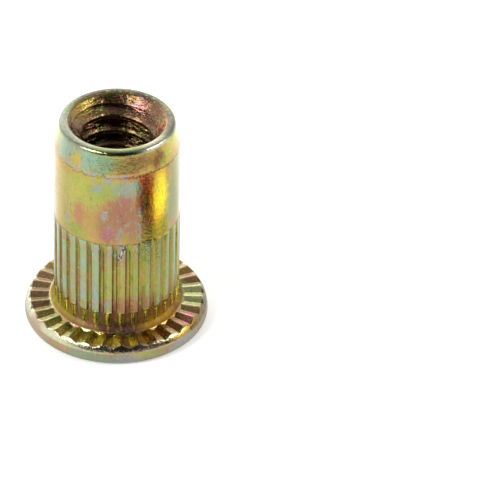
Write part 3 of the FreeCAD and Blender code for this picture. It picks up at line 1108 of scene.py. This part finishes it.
    def plating(self, node: NodeMaker, spot: Source) -> dict[Zone, Source]:
        """Colour every zone with its film and its patches, some of which are painted light and shade.

        Args:
            node: adds a node to the material.
            spot: the place in millimetres.

        Returns:
            The colour of each zone.
        """
        film = self.film.lay(node, spot)
        ragged = self.ragged.lay(node, spot, "Color")
        ragged = node(VECTOR_MATH, {0: ragged, 1: (0.5, 0.5, 0.5)}, operation="SUBTRACT")
        reach = (self.ragged_reach,) * 3
        ragged = node(VECTOR_MATH, {0: ragged, 1: reach, 2: spot}, operation="MULTIPLY_ADD")
        coloured = {}
        for zone in Zone:
            stops = [(step, linear(tone)) for step, tone in zip(self.film_steps, zone.value)]
            coloured[zone] = node("ShaderNodeValToRGB", {0: film}, stops=stops)
        for colour_patch in self.colour_patches:
            away = self.away(node, ragged, colour_patch)
            cover = node(MAP_RANGE, {
                0: away, 1: colour_patch.half_width * 1.4, 2: colour_patch.half_width * 0.5, 4: colour_patch.strength},
                interpolation_type="SMOOTHSTEP")
            under = coloured[colour_patch.zone]
            coloured[colour_patch.zone] = node(MIX, {SHARE: cover, UNDER: under, OVER: linear(colour_patch.colour)}, MIXED,
                                        data_type="RGBA")
        return coloured

    def zones(self, node: NodeMaker, spot: Source, radius: Source, height: Source) -> Source:
        """Lay the zones over one another, each within its limits.

        Args:
            node: adds a node to the material.
            spot: the place in millimetres.
            radius: from the axis.
            height: above the flat of the head.

        Returns:
            The colour.
        """
        s = self.sizes
        coloured = self.plating(node, spot)
        place = node("ShaderNodeSeparateXYZ", {0: spot}).node.outputs
        azimuth = node(MATH, {0: place["Y"], 1: place["X"]}, operation="ARCTAN2")
        fractions = []
        for first in (s.groove_azimuth, s.valley_azimuth):
            turned = node(MATH, {0: azimuth, 1: math.radians(first)}, operation="SUBTRACT")
            turned = node(MATH, {0: turned, 1: math.radians(s.pitch_angle)}, operation="DIVIDE")
            fractions.append(node(MATH, {0: turned}, operation="FRACT"))
        rib, tooth = fractions

        # a limit is a value, where the zone begins to show and where it covers all
        knurled = (height, s.rib_top + 0.02, s.rib_top - 0.02)
        tail_top = s.rib_full_bottom - 0.02
        below_ribs = (height, tail_top, tail_top - 0.08)
        off_neck = (height, s.tail_bottom, s.neck_top)
        on_tail = (radius, s.floor + 0.02, s.floor + 0.05)
        left_side = (place["X"], -2.4, -0.5)
        on_face = (height, s.face + 0.02, s.face)
        off_foot = (radius, s.neck_foot, s.tooth_start)
        front = (place["Y"], -3.9, -4.9)
        layers = (
            (Zone.GROOVES, knurled),
            (Zone.CRESTS, knurled, (radius, s.sleeve - 0.03, s.sleeve + 0.028)),
            # painted shade on the right-facing halves of the grooves
            (Zone.SHADES, knurled, (rib, 0.75, 0.79), (rib, 0.98, 0.82)),
            # painted shading on the left-facing sides of the ribs and grooves
            (Zone.SIDES, knurled, (radius, s.sleeve - 0.09, s.sleeve - 0.04), (rib, 0.46, 0.36), left_side),
            (Zone.NECK, (height, s.neck_top + 0.9, s.neck_top - 0.1)),
            # the rib tails: film brightened as painted highlight, in streaks down the neck, with painted
            # shade on their right sides
            (Zone.TAILS, off_neck, on_tail, below_ribs),
            (Zone.TAILS, (height, s.face - 0.1, s.neck_top), (height, s.neck_top + 0.03, s.neck_top - 0.03),
             (rib, 0.36, 0.5), (rib, 0.64, 0.5)),
            (Zone.CREASES, off_neck, below_ribs, on_tail, (rib, 0.5, 0.53), (rib, 0.62, 0.59)),
            # the neck's foot: a line of painted highlight and shade
            (Zone.FOOT, (height, s.face + 0.14, s.face + 0.04),
             (radius, s.neck_foot - 0.13, s.neck_foot - 0.03)),
            (Zone.FACE, (height, s.face + 0.1, s.face), (radius, s.tooth_start, s.tooth_start + 0.1)),
            # the front teeth: painted shade on their right-facing flanks and a dark painted line along their
            # crests
            (Zone.FLANKS, on_face, (tooth, 0.5, 0.58), off_foot, front),
            (Zone.CREASES, on_face, (tooth, 0.45, 0.5), (tooth, 0.56, 0.52), off_foot, front),
            # the shoulder: painted highlight and shade
            (Zone.SHOULDER, (height, s.face - 0.02, s.face - 0.12), (radius, s.head - 0.47, s.head - 0.4)),
            (Zone.WALL, (height, s.wall_top + 0.03, s.wall_top - 0.03), (radius, s.head - 0.2, s.head - 0.1)),
            (Zone.RIM, (height, s.length - s.rim_drop - 0.02, s.length - s.rim_drop + 0.06)),
            # the bore: darker, partly as painted shade inside the hole
            (Zone.BORE, (radius, s.mouth + 0.01, s.mouth - 0.03)),
        )
        colour = coloured[Zone.SLEEVE]
        for zone, *limits in layers:
            share: Source = 1.0
            for value, start, end in limits:
                edge = node(MAP_RANGE, {0: value, 1: start, 2: end}, interpolation_type="SMOOTHSTEP")
                share = node(MATH, {0: edge, 1: share}, operation="MULTIPLY")
            colour = node(MIX, {SHARE: share, UNDER: colour, OVER: coloured[zone]}, MIXED, data_type="RGBA")
        return colour

    def wear_and_painted_lines(self, node: NodeMaker, spot: Source, height: Source, inside: Source, colour: Source
             ) -> tuple[Source, Source]:
        """Add mottling, lifted film, dark specks, a crack below the nose and painted shade lines at the nose
        and over the knurl.

        Args:
            node: adds a node to the material.
            spot: the place in millimetres.
            height: above the flat of the head.
            inside: 1 in the bore and 0 elsewhere.
            colour: of the sound film.

        Returns:
            The colour, and how worn the film is.
        """
        s = self.sizes
        mottle = self.mottle.lay(node, spot)
        flakes = self.flakes.lay(node, spot)
        dust = self.dust.lay(node, spot)
        scratches = self.scratches.lay(node, spot)
        region = node(MAP_RANGE, {0: self.lifting.lay(node, spot), 1: 0.5, 2: 0.7, 4: 0.3})
        for scuff in self.scuffs:
            away = self.away(node, spot, scuff)
            here = node(MAP_RANGE, {
                0: away, 1: scuff.half_width * 1.5, 2: scuff.half_width * 0.5, 4: scuff.strength})
            region = node(MATH, {0: region, 1: here}, operation="MAXIMUM")
        region = node(MATH, {0: region, 1: inside}, operation="SUBTRACT")
        lifted = node(MATH, {0: region, 1: 0.13, 2: flakes}, operation="MULTIPLY_ADD")

        # below the nose: a pale crack in the film, which gives way towards the right to a dark line of
        # painted shade along the foot of the nose's taper
        wander = node(MATH, {0: mottle, 1: self.wander, 2: height}, operation="MULTIPLY_ADD")
        crack_height = s.length - s.nose_length + self.crack_above_nose_foot
        shade_line_height = crack_height - self.shade_line_below_crack
        crack = node(MATH, {0: wander, 1: crack_height, 2: self.crack_half}, operation="COMPARE")
        broken = node(MATH, {0: flakes, 1: 0.48}, operation="GREATER_THAN")
        crack = node(MATH, {0: crack, 1: broken}, operation="MULTIPLY")
        nose_shade_line = node(MATH, {0: wander, 1: shade_line_height, 2: self.shade_line_half}, operation="COMPARE")
        sideways = node("ShaderNodeSeparateXYZ", {0: spot}, "X")
        pale = node(MAP_RANGE, {0: sideways, 1: 1.6, 2: 0.6, 3: 0.15})
        crack = node(MATH, {0: crack, 1: pale}, operation="MULTIPLY")
        dark = node(MAP_RANGE, {0: sideways, 1: 0.6, 2: 1.6, 3: 0.5})
        nose_shade_line = node(MATH, {0: nose_shade_line, 1: dark}, operation="MULTIPLY")
        # a reddish line of painted shade along the step at the top of the knurl
        step = node(MATH, {0: height, 1: s.rib_top, 2: self.shade_line_half}, operation="COMPARE")
        bare, glint = self.bared(node, spot, flakes)

        # for each layer: its value, where it begins to show, where it covers most, how much and its colour
        layers = (
            (mottle, 0.53, 0.7, 0.45, "C4956A"),
            (mottle, 0.48, 0.34, 0.5, "8FA84E"),
            (lifted, 0.6, 0.74, 0.75, "A4A6AC"),
            (dust, 0.62, 0.72, 0.6, "4A4630"),
            (dust, 0.38, 0.28, 0.6, "DCD8A0"),
            (scratches, 0.6, 0.72, 0.4, "5C5038"),
            (scratches, 0.4, 0.3, 0.4, "C8C8B0"),
            (nose_shade_line, 0.0, 1.0, 0.85, "4A3420"),
            (crack, 0.0, 1.0, 0.85, "B0A8AC"),
            (step, 0.0, 1.0, 0.5, "A8583A"),
            (bare, 0.0, 1.0, 0.85, "48443A"),
            (glint, 0.0, 1.0, 1.0, "CCCECE"),
        )
        for value, start, end, strength, tone in layers:
            cover = node(MAP_RANGE, {0: value, 1: start, 2: end, 4: strength},
                         interpolation_type="SMOOTHSTEP")
            colour = node(MIX, {SHARE: cover, UNDER: colour, OVER: linear(tone)}, MIXED, data_type="RGBA")
        worn = node(MAP_RANGE, {0: lifted, 1: 0.6, 2: 0.74})
        return colour, worn

    def bared(self, node: NodeMaker, spot: Source, flakes: Source) -> tuple[Source, Source]:
        """Find the metal that the gouge lays bare, and the glints in it.

        Args:
            node: adds a node to the material.
            spot: the place in millimetres.
            flakes: a fine pattern, which frays the gouge's edge.

        Returns:
            How bare a place is, and how much it glints.
        """
        start, end = self.gouge.ends()
        run = end - start
        from_start = node(VECTOR_MATH, {0: spot, 1: tuple(start)}, operation="SUBTRACT")
        share = node(VECTOR_MATH, {0: from_start, 1: tuple(run / run.length_squared)}, "Value",
                     operation="DOT_PRODUCT")
        share = node("ShaderNodeClamp", {0: share})
        foot = node(VECTOR_MATH, {0: tuple(run), "Scale": share}, operation="SCALE")
        away = node(VECTOR_MATH, {0: from_start, 1: foot}, "Value", operation="DISTANCE")
        away = node(MATH, {0: flakes, 1: 0.3, 2: away}, operation="MULTIPLY_ADD")
        bare = node(MAP_RANGE, {0: away, 1: 0.31, 2: 0.22})
        glint = node(MAP_RANGE, {0: self.glints.lay(node, spot), 1: 0.46, 2: 0.62})
        return bare, node(MATH, {0: glint, 1: bare}, operation="MULTIPLY")


@dataclass(frozen=True)
class WhitePaper:
    """Matt white paper, which takes a soft shadow.

    Where metal reflects it, it is bright behind the nut and dim in front of it, which gives the metal its
    contrast.
    """

    tone: str = "F4F4F2"
    shade: str = "8C8478"

    def material(self) -> bpy.types.Material:
        """Build the node material.

        Returns:
            The paper.
        """
        material, node = node_material("matt_white_paper")
        ray = node("ShaderNodeLightPath").node.outputs
        place = node("ShaderNodeTexCoord", output="Object")
        forward = node("ShaderNodeSeparateXYZ", {0: place}, "Y")
        dark = node(MAP_RANGE, {0: forward, 1: -0.11, 2: -0.2, 3: 0.0, 4: 0.92})
        dark = node(MATH, {0: dark, 1: ray["Is Glossy Ray"]}, operation="MULTIPLY")
        behind = node(MAP_RANGE, {0: forward, 1: 0.002, 2: 0.03, 3: 0.12, 4: 1.0})
        behind = node(MATH, {0: behind, 1: ray["Is Glossy Ray"]}, operation="MULTIPLY")
        glow = node(MATH, {0: ray["Is Camera Ray"], 1: 0.4, 2: behind}, operation="MULTIPLY_ADD")
        paper = node("ShaderNodeBsdfDiffuse", {"Color": linear(self.tone)})
        light = node("ShaderNodeEmission", {"Color": (1, 1, 1, 1), "Strength": glow})
        lit = node("ShaderNodeAddShader", {0: paper, 1: light})
        shade = node("ShaderNodeEmission", {"Color": linear(self.shade), "Strength": 0.3})
        floor = node("ShaderNodeMixShader", {0: dark, 1: lit, 2: shade})
        node("ShaderNodeOutputMaterial", {0: floor})
        return material


@dataclass(frozen=True)
class GlowingCard:
    """Dark brown card with a lens-shaped patch of gold, both glowing, which the nose and sleeve show as a
    painted reflection: a dark band with a gold streak in it.
    """

    browns: tuple[str, str] = ("2A160C", "5C3416")
    gold: str = "FFDC6C"
    streaks: Grain = Grain(1.111, 2.0, 0.5, (1.0, 1.0, 0.1))
    gold_glow_middle: tuple[float, float, float] = (15.0, -2.9, 4.0)

    def material(self) -> bpy.types.Material:
        """Build the node material.

        Returns:
            The card, with its foil.
        """
        material, node = node_material("glowing_card_for_painted_reflection")
        place = node("ShaderNodeTexCoord", output="Object")
        spot = node(VECTOR_MATH, {0: place, "Scale": 1 / MM}, operation="SCALE")
        streaks = self.streaks.lay(node, spot)
        stops = [(0.35, linear(self.browns[0])), (0.65, linear(self.browns[1]))]
        card = node("ShaderNodeValToRGB", {0: streaks}, stops=stops)
        from_middle = node(VECTOR_MATH, {0: spot, 1: self.gold_glow_middle}, operation="SUBTRACT")
        lean = node(VECTOR_MATH, {0: from_middle, 1: (0, 0.19, -0.13)}, "Value", operation="DOT_PRODUCT")
        rise = node(VECTOR_MATH, {0: from_middle, 1: (0, 0, 0.4)}, "Value", operation="DOT_PRODUCT")
        oval = node("ShaderNodeCombineXYZ", {"X": lean, "Y": rise})
        away = node(VECTOR_MATH, {0: oval}, "Value", operation="LENGTH")
        gold_glow = node(MAP_RANGE, {0: away, 1: 1.1, 2: 0.75}, interpolation_type="SMOOTHSTEP")
        colour = node(MIX, {SHARE: gold_glow, UNDER: card, OVER: linear(self.gold)}, MIXED, data_type="RGBA")
        level = node(MAP_RANGE, {0: streaks, 1: 0.3, 2: 0.7, 3: 1.4, 4: 4.2})
        level = node(MIX, {SHARE: gold_glow, 2: 0.5, 3: level}, data_type="FLOAT")
        light = node("ShaderNodeEmission", {"Color": colour, "Strength": level})
        node("ShaderNodeOutputMaterial", {0: light})
        return material


@dataclass
class Studio:
    """Pale floor, surroundings, lamps and the camera.

    The camera's place and shift are in shank radii, and the card's sizes are in millimetres.
    """

    shank_radius: float = 4.5
    elevation: float = 36.169
    distance: float = 70.90
    focal_px: float = 4383.0
    image_px: int = 500
    sensor: float = 36.0
    shift_right: float = -2.1633
    shift_up: float = -0.9746
    roll: float = -1.577
    clip: tuple[float, float] = (0.01, 10.0)
    floor_half: float = 0.4
    card_left: tuple[float, float] = (12.0, -14.6)
    card_right: tuple[float, float] = (15.8, 0.8)
    card_height: float = 6.6
    lamp_distance: float = 0.25
    lamp_aim: float = 0.008

    def camera(self) -> bpy.types.Object:
        """Set the camera at the photograph's viewing angle.

        Returns:
            The camera.
        """
        tilt, roll = math.radians(self.elevation), math.radians(self.roll)
        along = Vector((0, math.cos(tilt), -math.sin(tilt)))
        level = Vector((1, 0, 0))
        upright = Vector((0, math.sin(tilt), math.cos(tilt)))
        right = math.cos(roll) * level - math.sin(roll) * upright
        up = math.sin(roll) * level + math.cos(roll) * upright
        place = -self.shift_right * right - self.shift_up * up - self.distance * along
        data = bpy.data.cameras.new("camera")
        data.sensor_fit = "HORIZONTAL"
        data.sensor_width = self.sensor
        data.lens = self.focal_px * self.sensor / self.image_px
        data.clip_start, data.clip_end = self.clip
        camera = add_object("camera", data)
        turned = Matrix((right, up, -along)).transposed().to_4x4()
        camera.matrix_world = Matrix.Translation(place * self.shank_radius * MM) @ turned
        bpy.context.scene.camera = camera
        return camera

    def floor(self) -> bpy.types.Object:
        """Lay the pale floor.

        Returns:
            The floor.
        """
        half = self.floor_half
        corners = [(-half, -half, 0), (half, -half, 0), (half, half, 0), (-half, half, 0)]
        return add_panel("floor", corners, WhitePaper().material())

    def reflection_card(self) -> bpy.types.Object:
        """Stand the glowing card at the right, where it shows only in reflections, as a painted reflection on
        the sleeve.

        Returns:
            The card.
        """
        corners = [(*self.card_left, 0), (*self.card_right, 0), (*self.card_right, self.card_height),
                   (*self.card_left, self.card_height)]
        corners = [[value * MM for value in corner] for corner in corners]
        card = add_panel("glowing_dark_card", corners, GlowingCard().material())
        card.visible_camera = False
        card.visible_diffuse = False
        card.visible_shadow = False
        return card

    def surroundings(self) -> None:
        """Light the world: a white horizon that darkens overhead, and a dark place in front of the nut."""
        world = bpy.data.worlds.new("light_tent")
        bpy.context.scene.world = world
        world.use_nodes = True
        world.node_tree.nodes.clear()
        node = partial(add_node, world.node_tree)
        direction = node("ShaderNodeTexCoord", output="Generated")
        height = node("ShaderNodeSeparateXYZ", {0: direction}, "Z")
        greys = ((0.0, 1.0), (0.3, 0.95), (0.55, 0.65), (0.8, 0.4), (1.0, 0.28))
        stops = [(position, (grey, grey, grey, 1)) for position, grey in greys]
        tent = node("ShaderNodeValToRGB", {0: height}, stops=stops)
        facing = node(VECTOR_MATH, {0: direction, 1: (0.0, -0.9, 0.44)}, "Value", operation="DOT_PRODUCT")
        front = node(MAP_RANGE, {0: facing, 1: 0.57, 2: 0.79, 3: 1.15, 4: 0.04},
                     interpolation_type="SMOOTHSTEP")
        facing = node(VECTOR_MATH, {0: direction, 1: (-0.25, 0.8, 0.54)}, "Value", operation="DOT_PRODUCT")
        backdrop = node(MAP_RANGE, {0: facing, 1: 0.78, 2: 0.95, 3: 1.0, 4: 2.3},
                        interpolation_type="SMOOTHSTEP")
        level = node(MATH, {0: front, 1: backdrop}, operation="MULTIPLY")
        seen = node("ShaderNodeLightPath", output="Is Camera Ray")
        strength = node(MIX, {SHARE: seen, 2: level, 3: 1.0}, data_type="FLOAT")
        colour = node(MIX, {SHARE: seen, UNDER: tent, OVER: (1, 1, 1, 1)}, MIXED, data_type="RGBA")
        back = node("ShaderNodeBackground", {"Color": colour, "Strength": strength})
        node("ShaderNodeOutputWorld", {0: back})

    def softbox(self, name: str, azimuth: float, elevation: float, width: float, height: float, level: float
                ) -> None:
        """Hang a soft lamp that faces the nut.

        Args:
            name: of the lamp.
            azimuth: from +X towards +Y.
            elevation: above the floor.
            width: of its face, in metres.
            height: of its face, in metres.
            level: how bright its face is, where 1 is white paper.
        """
        data = bpy.data.lights.new(name, "AREA")
        data.shape = "RECTANGLE"
        data.size, data.size_y = width, height
        data.energy = level * math.pi * width * height
        lamp = add_object(name, data)
        turn, lift = math.radians(azimuth), math.radians(elevation)
        away = Vector((math.cos(lift) * math.cos(turn), math.cos(lift) * math.sin(turn), math.sin(lift)))
        lamp.location = away * self.lamp_distance + Vector((0, 0, self.lamp_aim))
        lamp.rotation_euler = away.to_track_quat("Z", "Y").to_euler()

    def build(self) -> None:
        """Set up the whole studio."""
        self.camera()
        self.floor()
        self.reflection_card()
        self.surroundings()
        self.softbox("key_softbox", -143, 40, 0.10, 0.09, 11.0)
        self.softbox("fill_softbox", -8, 32, 0.08, 0.07, 9.0)


def main() -> None:
    """Build the studio and the nut, and hand the nut over."""
    logging.basicConfig(level=logging.INFO)
    bpy.context.scene.view_settings.view_transform = "Standard"
    Studio().build()
    body = NutBody().build(YellowChromate().material())
    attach(body, "root")
    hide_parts(NODE)
    log.info("piece %s: %d faces", body.name, len(body.data.polygons))


if __name__ == "__main__":
    main()
